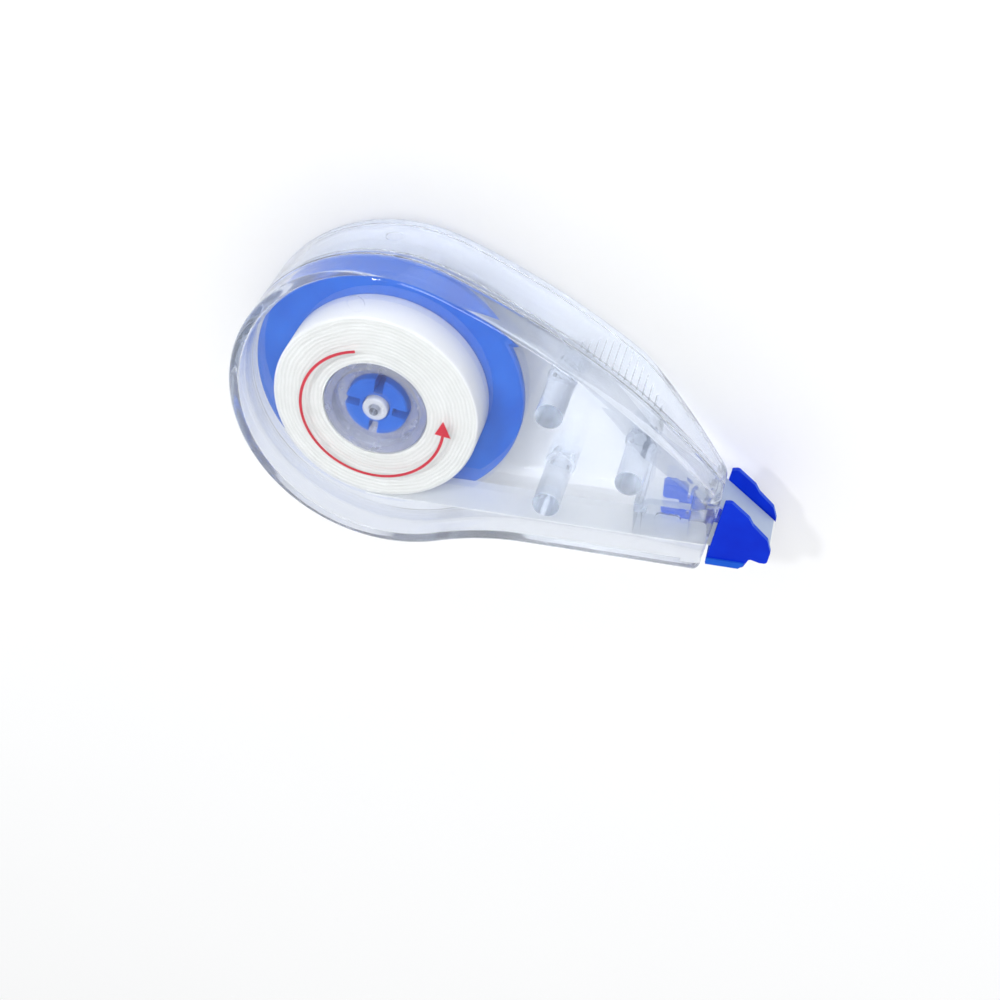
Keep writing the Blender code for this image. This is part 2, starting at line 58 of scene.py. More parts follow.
# Sizes read from the CAD nodes
CASE_TOP = box_of("front_shell")[1].z
ROLL_LOW, ROLL_HIGH = box_of("tape_roll")
REEL_LOW, REEL_HIGH = box_of("takeup_reel")
CORE_HIGH = box_of("supply_core")[1]
GUARD_LOW, GUARD_HIGH = box_of("tip_guard")
BLADE_LOW, BLADE_HIGH = box_of("tip_blade")
ROLL_RADIUS = ROLL_HIGH.x
ROLL_TOP = ROLL_HIGH.z
ROLL_BOTTOM = ROLL_LOW.z
CORE_RADIUS = CORE_HIGH.x
TAPE_WIDTH = ROLL_TOP - ROLL_BOTTOM
LINER_LOW = box_of("liner_wrap")[0].z
WRAP_RADIUS = box_of("liner_wrap")[1].x
RIBBON_THICKNESS = 0.14
RIBBON_FIT = 0.06

# Case: the arcs and heights of the CAD outline
WALL = 1.0
WINDOW_INSIDE = CASE_TOP - WALL
END_RADIUS = 17.5
END_CENTRE = Vector((1.0, -0.1))
BACK_RADIUS = 86.7
NOSE_TOP = Vector((38.0, -4.65))
NOSE_BOTTOM = Vector((36.2, -14.8))
BELLY_RADIUS = 30.0
NOSE_LIFT = 6.2
LIFT_START = 27.0
LIFT_CURVE = 1.25
PARTING_HEIGHT = 9.4
PARTING_NOSE_RISE = 1.0
PART_GAP = 0.15
REAR_FILLET = 2.6
FRONT_FILLET = 1.2
FLOOR_FILLET = 1.2
NOSE_CORNER = 0.8
SHARPEST_CORNER = 0.2
LIP_DEPTH = 1.3
LIP_INSET = 0.6
LIP_FIT = 0.1

# Small roundings that only this model has
WINDOW_FILLET = 0.35
EDGE = 0.12

# How finely the case's outline and edges are divided
END_STEPS = 56
BELLY_STEPS = 14
LINE_STEPS = 26
CORNER_STEPS = 6
LARGE_FILLET_STEPS = 10
FRONT_FILLET_STEPS = 8
INSIDE_FILLET_STEPS = 6
WINDOW_FILLET_STEPS = 5
EDGE_STEPS = 3

# Largest angle (degrees) between faces that are shaded as one surface
SMOOTH_ANGLE = 35.0

# Round marks of the ejector pins
MARK_CUT = 0.07
WALL_MARK_X, WALL_MARK_Z, WALL_MARK_RADIUS = 0.5, 4.6, 0.9
WINDOW_MARK_X, WINDOW_MARK_Y, WINDOW_MARK_RADIUS = -1.2, 13.3, 0.95

# Grip
GRIP_COUNT = 14
GRIP_PITCH = 0.67
GRIP_WIDTH = 0.24
GRIP_PROUD = 0.22
GRIP_FIRST_X = 21.6
GRIP_TOP_GAP = 0.5
GRIP_FOOT = 3.4

# Posts and pegs
PEGS = {"low_peg": (19.1, -9.1), "high_peg": (19.2, 2.6), "nose_peg": (28.0, -4.6)}
PEG_RADIUS = 1.5
SOCKET_RADIUS = 1.75
PEG_SPLIT = 5.6
PIN_RADIUS = 0.8
PIN_LENGTH = 1.8
AXLE_RADIUS = 1.4
AXLE_FIT = 0.1

# Reels
HUB_RADIUS = 3.5
DRUM_RADIUS = 11.9
DISC_GAP = 0.2
DISC_THICKNESS = 0.8
DISC_TOP = ROLL_BOTTOM - DISC_GAP
DISC_BOTTOM = DISC_TOP - DISC_THICKNESS

# Printed arrow under the window's face
ARROW_RADIUS = 8.0
ARROW_WIDTH = 0.32
ARROW_DEPTH = 0.03
ARROW_COVER = 0.04
ARROW_START, ARROW_END = 100.0, 350.0
ARROW_HEAD_ANGLE = 14.0
ARROW_HEAD_HALF = 0.9

# Tip: outlines are (corner, radius) pairs or plain corners
TIP_EDGE = Vector((43.1, -11.3))
TIP_EDGE_RADIUS = 0.3
SHOULDER = Vector((37.4, -7.1))
SHOULDER_RADIUS = 0.8
CHEEK_THICKNESS = 0.6
CHEEK_GAP = 0.15
BLADE_LEFT = 29.1
BLADE_TOP = -7.2
CHEEK_CORNERS = [
    ((36.8, -13.7), 0.2),
    ((40.9, -13.5), 0.4),
    ((41.5, -12.2), 0.3),
    ((42.6, -12.5), 0.2),
    ((43.4, -12.5), 0.4),
    ((43.65, -10.9), 0.5),
    ((43.2, -9.4), 0.4),
    ((41.5, -7.7), 0.5),
    ((41.0, -6.8), 0.6),
    ((39.0, -5.05), 0.5),
    ((38.3, -5.2), 0.15),
]
POCKET_CORNERS = [((31.0, -11.0), 0.6), ((33.8, -11.0), 0.6), ((33.8, -8.3), 0.6),
                  ((31.0, -8.3), 0.6)]
BLOCK_WINDOW_CORNERS = [((34.6, -10.9), 0.3), ((36.4, -10.9), 0.3), ((36.4, -8.6), 0.3),
                        ((34.6, -8.6), 0.3)]
CLIP_CORNERS = [((31.1, -11.4), 0.5), ((33.9, -11.4), 0.3), ((33.9, -9.0), 0.3),
                ((32.6, -7.5), 0.5), ((31.1, -7.5), 0.5)]
WEDGE_CORNERS = [((34.2, -11.8), 0.2), ((36.7, -11.8), 0.2), ((34.2, -9.2), 0.2)]
LUG_CORNERS = [((37.0, -8.4), 0.15), ((39.2, -8.4), 0.15), ((39.2, -6.9), 0.15),
               ((37.6, -6.9), 0.15)]
ARM_OUTLINE = [(33.0, -12.3), (39.0, -12.3), (39.0, -11.7), (33.0, -10.9)]
FOOT_OUTLINE = [(36.9, -13.6), (40.45, -13.6), (41.0, -13.05), (41.0, -12.8), (36.9, -12.8)]

# Colours, as (darker, lighter) shades where a material varies
# The second colour is painted shade: dark blue where the clear walls are seen at a glancing
# angle
CLEAR_FACE, CLEAR_PAINTED_OUTLINE_SHADE = (0.945, 0.956, 0.975), (0.10, 0.22, 0.62)
CLEAR_DEPTH = (0.30, 0.48, 0.74)
CORE_MILK = (0.86, 0.88, 0.97)
POST_MILK = (0.88, 0.90, 0.95)
REEL_BLUES = ((0.009, 0.10, 0.53), (0.024, 0.16, 0.66))
GUARD_BLUES = ((0.0, 0.018, 0.52), (0.0, 0.035, 0.66))
# The foot's blue is a lighter copy of the guard's blue: its flow marks are real, its lighter
# tone is painted light
FOOT_PAINTED_LIGHT_BLUES = ((0.006, 0.085, 0.56), (0.014, 0.12, 0.68))
# Paler blue of the painted sheen on the blue plastics, where they are seen at a glancing angle
PAINTED_SHEEN_BLUE = (0.03, 0.17, 0.72)
TAPE_FACE = ((0.66, 0.665, 0.62), (0.90, 0.90, 0.865))
TAPE_OUTER_TURN = (0.86, 0.86, 0.86)
FILM_WHITES = ((0.77, 0.80, 0.82), (0.85, 0.865, 0.87))
LINER_GREYS = ((0.36, 0.44, 0.60), (0.44, 0.52, 0.68))
PRINT_REDS = ((0.56, 0.006, 0.03), (0.68, 0.012, 0.04))
PAPER_WHITES = ((0.945, 0.95, 0.955), (0.955, 0.96, 0.965))


# ---------------------------------------------------------------- node helpers

class Maker:
    """A new Principled material with short helpers for its node tree."""

    def __init__(self, name, colour, roughness):
        self.material = bpy.data.materials.new(name)
        self.material.use_nodes = True
        self.nodes = self.material.node_tree.nodes
        self.links = self.material.node_tree.links
        self.shader = self.nodes["Principled BSDF"]
        self.set("Base Color", (*colour, 1.0))
        self.set("Roughness", roughness)
        self.place = self.nodes.new("ShaderNodeTexCoord").outputs["Object"]

    def set(self, socket, value):
        self.shader.inputs[socket].default_value = value

    def link(self, output, socket):
        self.links.new(output, self.shader.inputs[socket])

    def noise(self, scale, detail=3.0, roughness=0.5):
        """Noise about 0.5; scale is in bumps a metre."""
        node = self.nodes.new("ShaderNodeTexNoise")
        node.inputs["Scale"].default_value = scale
        node.inputs["Detail"].default_value = detail
        node.inputs["Roughness"].default_value = roughness
        self.links.new(self.place, node.inputs["Vector"])
        return node.outputs["Fac"]

    def math(self, operation, first, second=None):
        node = self.nodes.new("ShaderNodeMath")
        node.operation = operation
        for socket, value in zip(node.inputs, (first, second)):
            if value is None:
                continue
            if isinstance(value, (int, float)):
                socket.default_value = value
            else:
                self.links.new(value, socket)
        return node.outputs["Value"]

    def span(self, factor, low, high, start=0.0, end=1.0):
        """Map a factor between start and end to a value between low and high."""
        node = self.nodes.new("ShaderNodeMapRange")
        for socket, value in (("From Min", start), ("From Max", end),
                              ("To Min", low), ("To Max", high)):
            node.inputs[socket].default_value = value
        self.links.new(factor, node.inputs["Value"])
        return node.outputs["Result"]

    def blend(self, factor, first, second):
        """Colour between first, a colour or a node's output, and second, by a factor."""
        node = self.nodes.new("ShaderNodeMix")
        node.data_type = "RGBA"
        if isinstance(first, tuple):
            node.inputs["A"].default_value = (*first, 1.0)
        else:
            self.links.new(first, node.inputs["A"])
        node.inputs["B"].default_value = (*second, 1.0)
        self.links.new(factor, node.inputs["Factor"])
        return node.outputs["Result"]

    def bump(self, height, distance):
        """Relief as deep as the distance, in metres."""
        node = self.nodes.new("ShaderNodeBump")
        node.inputs["Strength"].default_value = 1.0
        node.inputs["Distance"].default_value = distance
        self.links.new(height, node.inputs["Height"])
        self.link(node.outputs["Normal"], "Normal")

    def glancing(self):
        """0 where a surface faces the eye, 1 where it turns away."""
        node = self.nodes.new("ShaderNodeLayerWeight")
        node.inputs["Blend"].default_value = 0.5
        return node.outputs["Facing"]

    def radius(self):
        """Distance from the reel axis, in metres."""
        split = self.nodes.new("ShaderNodeSeparateXYZ")
        self.links.new(self.place, split.inputs["Vector"])
        x_squared = self.math("POWER", split.outputs["X"], 2.0)
        y_squared = self.math("POWER", split.outputs["Y"], 2.0)
        return self.math("SQRT", self.math("ADD", x_squared, y_squared))

    def through(self, tint):
        """Tinted light that goes straight on."""
        node = self.nodes.new("ShaderNodeBsdfTransparent")
        node.inputs["Color"].default_value = (*tint, 1.0)
        return node.outputs["BSDF"]

    def mixed(self, first, second):
        """Mix Shader node of two shaders; the caller sets its factor."""
        mix = self.nodes.new("ShaderNodeMixShader")
        self.links.new(first, mix.inputs[1])
        self.links.new(second, mix.inputs[2])
        return mix

    def absorb(self, colour, density):
        """Long paths through the plastic, as along an edge, come out darker and bluer."""
        node = self.nodes.new("ShaderNodeVolumeAbsorption")
        node.inputs["Color"].default_value = (*colour, 1.0)
        node.inputs["Density"].default_value = density
        self.links.new(node.outputs["Volume"], self.nodes["Material Output"].inputs["Volume"])

    def thin_wall(self, straight_share, tint, lamp_tint):
        """Clear moulding: part refracts, part passes straight on, and lamps shine in."""
        path = self.nodes.new("ShaderNodeLightPath")
        lit = self.mixed(self.shader.outputs["BSDF"], self.through(lamp_tint))
        self.links.new(path.outputs["Is Shadow Ray"], lit.inputs["Fac"])
        whole = self.mixed(lit.outputs["Shader"], self.through(tint))
        whole.inputs["Fac"].default_value = straight_share
        self.links.new(whole.outputs["Shader"], self.nodes["Material Output"].inputs["Surface"])


# ---------------------------------------------------------------- materials

def clear_plastic():
    """Polished clear polystyrene with faint haze and ripple; painted dark-blue shade on its
    outlines.
    """
    m = Maker("clear_polystyrene", CLEAR_FACE, 0.03)
    # Painted shade: the walls turn dark blue where they are seen at a glancing angle
    outline = m.span(m.glancing(), 0.0, 1.0, start=0.8, end=1.0)
    m.link(m.blend(outline, CLEAR_FACE, CLEAR_PAINTED_OUTLINE_SHADE), "Base Color")
    m.set("Transmission Weight", 1.0)
    m.set("IOR", 1.18)
    m.set("Coat Weight", 0.8)
    m.set("Coat Roughness", 0.04)
    haze = m.noise(420.0, detail=5.0, roughness=0.6)
    m.link(m.span(haze, 0.0, 0.06, start=0.35, end=0.75), "Roughness")
    m.bump(m.noise(160.0, detail=2.0), distance=0.02 * MM)
    m.thin_wall(0.12, tint=(0.97, 0.97, 0.975), lamp_tint=(0.99, 0.99, 0.99))
    m.absorb(CLEAR_DEPTH, density=35.0)
    return m.material


def milky_plastic(name, tint, clearness):
    """Translucent plastic with a fine matt texture."""
    m = Maker(name, tint, 0.2)
    m.set("Transmission Weight", clearness)
    m.set("IOR", 1.33)
    m.link(m.span(m.noise(700.0, detail=4.0), 0.16, 0.34), "Roughness")
    m.bump(m.noise(900.0), distance=0.02 * MM)
    m.thin_wall(0.1, tint=tint, lamp_tint=(0.9, 0.92, 0.96))
    return m.material


def blue_plastic(name, shades, roughness):
    """Saturated satin blue with flow marks and fine grain, with a painted sheen that makes it
    paler at a glancing angle.
    """
    dark, light = shades
    m = Maker(name, dark, roughness)
    flow = m.noise(170.0, roughness=0.55)
    body = m.blend(m.span(flow, 0.0, 1.0, start=0.3, end=0.7), dark, light)
    # Painted sheen: the base colour turns a paler blue where the surface is seen at a glancing
    # angle
    painted_sheen = m.span(m.glancing(), 0.0, 1.0, start=0.35, end=1.0)
    m.link(m.blend(painted_sheen, body, PAINTED_SHEEN_BLUE), "Base Color")
    m.link(m.span(m.noise(1400.0), roughness - 0.06, roughness + 0.08), "Roughness")
    m.bump(m.noise(2600.0, detail=2.0), distance=0.01 * MM)
    m.set("Specular IOR Level", 0.12)
    return m.material


def wound_tape():
    """Warm white edges of many thin layers in rings; the outer turn is a plain white."""
    m = Maker("wound_white_tape", (0.8, 0.8, 0.76), 0.6)
    radius = m.radius()
    ring_pitch = 0.42 * MM
    looseness = 2.5
    turns = m.math("DIVIDE", radius, ring_pitch)
    wobble = m.math("MULTIPLY", m.noise(150.0, detail=4.0), looseness)
    rings = m.math("SINE", m.math("MULTIPLY", m.math("ADD", turns, wobble), math.tau))
    ring_share, patch_share = 0.36, 0.64
    shade = m.math("MULTIPLY", m.span(rings, 0.0, 1.0, start=-1.0, end=1.0), ring_share)
    patches = m.math("MULTIPLY", m.noise(420.0, detail=5.0, roughness=0.65), patch_share)
    face = m.blend(m.math("ADD", shade, patches), *TAPE_FACE)
    outer_turn = m.span(radius, 0.0, 1.0, start=(ROLL_RADIUS - 0.3) * MM,
                        end=(ROLL_RADIUS - 0.1) * MM)
    m.link(m.blend(outer_turn, face, TAPE_OUTER_TURN), "Base Color")
    m.bump(rings, distance=0.015 * MM)
    return m.material


def white_film():
    """Smooth white correction film with slight clouding."""
    m = Maker("white_film", (0.84, 0.87, 0.88), 0.4)
    m.link(m.blend(m.noise(500.0), *FILM_WHITES), "Base Color")
    m.bump(m.noise(1500.0), distance=0.01 * MM)
    return m.material


def release_liner(name, opacity):
    """Silicone-coated glassine: cloudy fibres in a grey-blue film."""
    m = Maker(name, (0.55, 0.62, 0.74), 0.35)
    m.set("Alpha", opacity)
    m.link(m.blend(m.noise(600.0, detail=4.0), *LINER_GREYS), "Base Color")
    m.bump(m.noise(1800.0), distance=0.01 * MM)
    return m.material


def red_print():
    """Printed ink: nearly even, with a faint grain."""
    m = Maker("red_print", (0.62, 0.008, 0.03), 0.4)
    m.link(m.blend(m.noise(2400.0, detail=2.0), *PRINT_REDS), "Base Color")
    m.link(m.span(m.noise(900.0), 0.3, 0.5), "Roughness")
    m.bump(m.noise(3200.0, detail=2.0), distance=0.004 * MM)
    return m.material


def floor_paper():
    """Pale matt paper with hardly visible clouding."""
    m = Maker("floor_paper", (0.95, 0.955, 0.96), 0.8)
    m.link(m.blend(m.noise(40.0), *PAPER_WHITES), "Base Color")
    m.set("Specular IOR Level", 0.1)
    return m.material


# ---------------------------------------------------------------- mesh helpers

def make_object(name, bm, material, smooth_angle=SMOOTH_ANGLE):
    """Object in the scene, made from a bmesh that is used up."""
    bmesh.ops.recalc_face_normals(bm, faces=bm.faces)
    mesh = bpy.data.meshes.new(name)
    bm.to_mesh(mesh)
    bm.free()
    mesh.shade_smooth()
    mesh.set_sharp_from_angle(angle=math.radians(smooth_angle))
    mesh.materials.append(material)
    thing = bpy.data.objects.new(name, mesh)
    bpy.context.scene.collection.objects.link(thing)
    return thing


def combine(target, steps):
    """Carry out (operation, tool) boolean steps on target and remove the tools."""
    for operation, tool in steps:
        modifier = target.modifiers.new(tool.name, "BOOLEAN")
        modifier.operation = operation
        modifier.solver = "EXACT"
        modifier.material_mode = "TRANSFER"
        modifier.object = tool
    graph = bpy.context.evaluated_depsgraph_get()
    mesh = bpy.data.meshes.new_from_object(target.evaluated_get(graph))
    target.modifiers.clear()
    target.data = mesh
    for _, tool in steps:
        bpy.data.objects.remove(tool, do_unlink=True)


def round_edges(thing, width, segments=2):
    """Small rounding on every sharp edge, so that edges catch the light."""
    sharp_angle = 40.0
    modifier = thing.modifiers.new("edges", "BEVEL")
    modifier.width = width * MM
    modifier.segments = segments
    modifier.limit_method = "ANGLE"
    modifier.angle_limit = math.radians(sharp_angle)
    modifier.use_clamp_overlap = True
    modifier.harden_normals = False


def even_normals(thing):
    """Keep flat faces flat next to their rounded edges."""
    thing.data.shade_smooth()
    thing.data.set_sharp_from_angle(angle=math.radians(SMOOTH_ANGLE))
    modifier = thing.modifiers.new("normals", "WEIGHTED_NORMAL")
    modifier.keep_sharp = True


def stand_for(thing, node, body):
    """The finer piece takes the place of its CAD node and moves with the same body."""
    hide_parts(node)
    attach(thing, body)


def turned(bm, profile, centre=(0.0, 0.0), segments=64):
    """Revolve a closed (radius, z) profile; points on the axis become one vertex."""
    columns = []
    for radius, z in profile:
        if radius == 0.0:
            columns.append([bm.verts.new((centre[0] * MM, centre[1] * MM, z * MM))])
            continue
        ring = []
        for k in range(segments):
            angle = math.tau * k / segments
            x = centre[0] + radius * math.cos(angle)
            y = centre[1] + radius * math.sin(angle)
            ring.append(bm.verts.new((x * MM, y * MM, z * MM)))
        columns.append(ring)
    for here, there in zip(columns, columns[1:] + columns[:1]):
        if len(here) == 1 and len(there) == 1:
            continue
        for k in range(segments):
            corners = [here[k % len(here)], here[(k + 1) % len(here)]]
            corners += [there[(k + 1) % len(there)], there[k % len(there)]]
            bm.faces.new(list(dict.fromkeys(corners)))


def extruded(bm, outline, bottom, top):
    """Prism of a closed (x, y) outline between two heights."""
    low = [bm.verts.new((x * MM, y * MM, bottom * MM)) for x, y in outline]
    high = [bm.verts.new((x * MM, y * MM, top * MM)) for x, y in outline]
    bm.faces.new(low)
    bm.faces.new(high)
    for k in range(len(outline)):
        after = (k + 1) % len(outline)
        bm.faces.new((low[k], low[after], high[after], high[k]))


def prism(name, outline, bottom, top, material):
    bm = bmesh.new()
    extruded(bm, outline, bottom, top)
    return make_object(name, bm, material)


def arc(centre, radius, start, end, steps):
    """Points on an arc from start to end (degrees), both ends included."""
    points = []
    for k in range(steps + 1):
        angle = math.radians(start + (end - start) * k / steps)
        points.append(Vector((centre[0] + radius * math.cos(angle),
                              centre[1] + radius * math.sin(angle))))
    return points


def rounded_corner(before, corner, after, radius, steps):
    """Arc that rounds one corner of an outline, bulging in or out as the corner does."""
    to_before = (before - corner).normalized()
    to_after = (after - corner).normalized()
    half = to_before.angle(to_after) / 2
    reach = radius / math.tan(half)
    start = corner + to_before * reach
    middle = corner + (to_before + to_after).normalized() * (radius / math.sin(half))
    end = corner + to_after * reach
    points = []
    for k in range(steps + 1):
        spoke = (start - middle).lerp(end - middle, k / steps)
        points.append(middle + spoke.normalized() * radius)
    return points


def rounded_polygon(corners, steps=6):
    """Closed outline through (corner, radius) pairs, each corner rounded by its radius."""
    points = []
    for k, (corner, radius) in enumerate(corners):
        before = Vector(corners[k - 1][0])
        after = Vector(corners[(k + 1) % len(corners)][0])
        points += rounded_corner(before, Vector(corner), after, radius, steps)
    return points


# ---------------------------------------------------------------- case outline

def degrees_of(vector):
    return math.degrees(math.atan2(vector[1], vector[0]))


def back_centre():
    """Centre of the long back arc: tangent to the round end, through the nose top."""
    reach = NOSE_TOP - END_CENTRE
    spread = BACK_RADIUS - END_RADIUS
    along = (BACK_RADIUS ** 2 - spread ** 2 - reach.length_squared) / (2 * spread)
    angle = math.atan2(reach.y, reach.x) + math.acos(along / reach.length)
    return END_CENTRE - spread * Vector((math.cos(angle), math.sin(angle)))


def belly_centre():
    """Centre of the hollow arc between the round end and the straight belly."""
    drop = END_CENTRE.y - (NOSE_BOTTOM.y - BELLY_RADIUS)
    reach = math.sqrt((END_RADIUS + BELLY_RADIUS) ** 2 - drop ** 2)
    return Vector((END_CENTRE.x + reach, NOSE_BOTTOM.y - BELLY_RADIUS))


def nose_corners(inset):
    """Where the nose line, moved inwards, meets the back arc and the belly line."""
    along = (NOSE_TOP - NOSE_BOTTOM).normalized()
    inwards = Vector((-along.y, along.x))
    start = NOSE_BOTTOM + inwards * inset
    rise = (NOSE_BOTTOM.y + inset - start.y) / along.y
    bottom = start + along * rise
    offset = start - back_centre()
    middle = offset.dot(along)
    radius = BACK_RADIUS - inset
    reach = math.sqrt(middle ** 2 - offset.length_squared + radius ** 2)
    top = start + along * (reach - middle)
    return top, bottom


def case_outline(inset):
    """Upper and lower chains of the case outline, from the round end to the nose."""
    top, bottom = nose_corners(inset)
    back = back_centre()
    belly = belly_centre()
    end_radius = END_RADIUS - inset
    leave_back = degrees_of(END_CENTRE - back)
    leave_belly = degrees_of(belly - END_CENTRE) + 360.0
    reach_top = degrees_of(top - back)
    upper = arc(END_CENTRE, end_radius, 180.0, leave_back, END_STEPS)
    upper += arc(back, BACK_RADIUS - inset, leave_back, reach_top, BELLY_STEPS + LINE_STEPS)[1:]
    lower = arc(END_CENTRE, end_radius, 180.0, leave_belly, END_STEPS)
    turn_in = leave_belly - 180.0
    lower += arc(belly, BELLY_RADIUS + inset, turn_in, 90.0, BELLY_STEPS)[1:]
    line_start = lower[-1]
    for k in range(1, LINE_STEPS + 1):
        lower.append(line_start.lerp(bottom, k / LINE_STEPS))
    corner = max(NOSE_CORNER - inset, SHARPEST_CORNER)
    upper = upper[:-1] + rounded_corner(upper[-2], top, bottom, corner, CORNER_STEPS)
    lower = lower[:-1] + rounded_corner(lower[-2], bottom, top, corner, CORNER_STEPS)
    return upper, lower


def ramp(x):
    """0 over the reels, growing to 1 at the end of the nose."""
    reach = min(max((x - LIFT_START) / (NOSE_TOP.x - LIFT_START), 0.0), 1.0)
    return reach ** LIFT_CURVE


def floor_height(x):
    """Height of the case's underside, which climbs towards the nose."""
    return NOSE_LIFT * ramp(x)


def parting_height(x):
    """Height of the line where the two shells meet."""
    return PARTING_HEIGHT + PARTING_NOSE_RISE * ramp(x)


def shell_body(bm, levels):
    """Closed shell from a stack of (inset, height function) rings."""
    rings = []
    for inset, height in levels:
        upper, lower = case_outline(inset)
        loop = lower + upper[:0:-1]
        rings.append([bm.verts.new((p.x * MM, p.y * MM, height(p.x) * MM)) for p in loop])
    count = len(rings[0])
    for here, there in zip(rings, rings[1:]):
        for k in range(count):
            after = (k + 1) % count
            bm.faces.new((here[k], here[after], there[after], there[k]))
    steps = (count - 1) // 2
    for ring in (rings[0], rings[-1]):
        bm.faces.new((ring[0], ring[1], ring[-1]))
        for k in range(1, steps):
            bm.faces.new((ring[k], ring[k + 1], ring[-k - 1], ring[-k]))


def quarter_round(radius, height, inset, upwards, steps):
    """Rings of a rounded edge, from a flat face out to a side wall."""
    levels = []
    for k in range(steps + 1):
        angle = math.pi / 2 * k / steps
        climb = radius * (1 - math.cos(angle))
        if not upwards:
            climb = -climb
        levels.append((inset + radius * (1 - math.sin(angle)),
                       lambda x, climb=climb: height(x) + climb))
    return levels


def shifted(height, offset):
    """The same height function, shifted."""
    return lambda x: height(x) + offset


# ---------------------------------------------------------------- case

def grip_ribs(material):
    """Fine ribs across the back; their lengths make an almond-shaped patch."""
    centre = back_centre()
    bm = bmesh.new()
    for k in range(GRIP_COUNT):
        x = GRIP_FIRST_X + GRIP_PITCH * k
        angle = math.acos((x - centre.x) / BACK_RADIUS)
        outwards = Vector((math.cos(angle), math.sin(angle)))
        along = Vector((-outwards.y, outwards.x))
        surface = centre + outwards * BACK_RADIUS
        inner = surface - outwards * GRIP_PROUD
        outer = surface + outwards * GRIP_PROUD
        half = along * (GRIP_WIDTH / 2)
        outline = [inner - half, outer - half / 2, outer + half / 2, inner + half]
        swell = math.sin(math.pi * (k + 1) / (GRIP_COUNT + 1))
        top = parting_height(x) - GRIP_TOP_GAP
        bottom = top - (top - floor_height(x) - GRIP_FOOT) * swell
        extruded(bm, outline, bottom, top)
    return make_object("grip_ribs", bm, material)


def disc_cutter(name, centre, normal, radius, material):
    """Thin round cutter that leaves the mark of an ejector pin."""
    bm = bmesh.new()
    turned(bm, [(0.0, -MARK_CUT), (radius, -MARK_CUT), (radius, MARK_CUT), (0.0, MARK_CUT)],
           segments=40)
    turn = Vector(normal).to_track_quat("Z", "Y").to_matrix().to_4x4()
    bm.transform(Matrix.Translation(Vector(centre) * MM) @ turn)
    return make_object(name, bm, material)


def nose_mouth(material):
    """Cutter for the opening in the nose wall that the tip looks out of."""
    side_margin = 0.9
    overrun = 0.1
    cut_depth = 2.2 * WALL
    along = NOSE_TOP - NOSE_BOTTOM
    low = NOSE_BOTTOM + along * (side_margin / along.length)
    high = NOSE_TOP - along * (side_margin / along.length)
    reach = Vector((cut_depth, 0.0))
    outline = [low - reach, low + reach, high + reach, high - reach]
    return prism("nose_mouth", outline, GUARD_LOW.z, WINDOW_INSIDE + overrun, material)


def rear_shell(material, post_material):
    """Floor, wall and locating rebate, with the post, sockets, ribs and nose opening."""
    outer_edge = quarter_round(EDGE, parting_height, inset=0.0, upwards=False,
                               steps=EDGE_STEPS)
    levels = quarter_round(REAR_FILLET, floor_height, inset=0.0, upwards=True,
                           steps=LARGE_FILLET_STEPS)
    levels += outer_edge[::-1]
    rebate = LIP_INSET - LIP_FIT
    levels += [(rebate, parting_height)]
    levels += [(rebate, shifted(parting_height, -LIP_DEPTH - LIP_FIT))]
    levels += [(WALL, shifted(parting_height, -LIP_DEPTH - LIP_FIT))]
    inside = quarter_round(FLOOR_FILLET, shifted(floor_height, WALL), inset=WALL, upwards=True,
                           steps=INSIDE_FILLET_STEPS)
    levels += inside[::-1]
    bm = bmesh.new()
    shell_body(bm, levels)
    shell = make_object("clear_rear_shell", bm, material)
    mark_place = (WALL_MARK_X, END_CENTRE.y + END_RADIUS - WALL, WALL_MARK_Z)
    mark_normal = (0.02, 1.0, 0.0)
    wall_mark = disc_cutter("wall_mark", mark_place, mark_normal, WALL_MARK_RADIUS, material)
    combine(shell, [("UNION", grip_ribs(material)),
                    ("UNION", axle_post(post_material)),
                    ("UNION", peg_sockets(material)),
                    ("DIFFERENCE", nose_mouth(material)),
                    ("DIFFERENCE", wall_mark)])
    even_normals(shell)
    return shell


def axle_post(material):
    """Hollow post that both reels turn on."""
    root = WALL / 2
    bore_radius = 0.65
    bore_depth = 3.0
    collar_radius = 2.6
    collar_gap = 0.1
    collar_top = REEL_LOW.z - collar_gap
    bm = bmesh.new()
    turned(bm, [(0.0, root), (collar_radius, root), (collar_radius, collar_top),
                (AXLE_RADIUS, collar_top), (AXLE_RADIUS, ROLL_TOP - EDGE),
                (AXLE_RADIUS - EDGE, ROLL_TOP), (bore_radius + EDGE, ROLL_TOP),
                (bore_radius, ROLL_TOP - EDGE), (bore_radius, ROLL_TOP - bore_depth),
                (0.0, ROLL_TOP - bore_depth)])
    return make_object("axle_post", bm, material)


def peg_sockets(material):
    """Hollow feet on the floor that take the pins of the front pegs."""
    seat_gap = 0.3
    ramp_cover = 0.25
    pin_fit = 0.1
    bore = PIN_RADIUS + pin_fit
    top = PEG_SPLIT - seat_gap
    floor = top - PIN_LENGTH - seat_gap
    bm = bmesh.new()
    for centre in PEGS.values():
        foot = max(WALL / 2, floor_height(centre[0] + SOCKET_RADIUS) + ramp_cover)
        turned(bm, [(0.0, foot), (SOCKET_RADIUS, foot), (SOCKET_RADIUS, top - EDGE),
                    (SOCKET_RADIUS - EDGE, top), (bore, top), (bore, floor), (0.0, floor)],
               centre)
    return make_object("peg_sockets", bm, material)


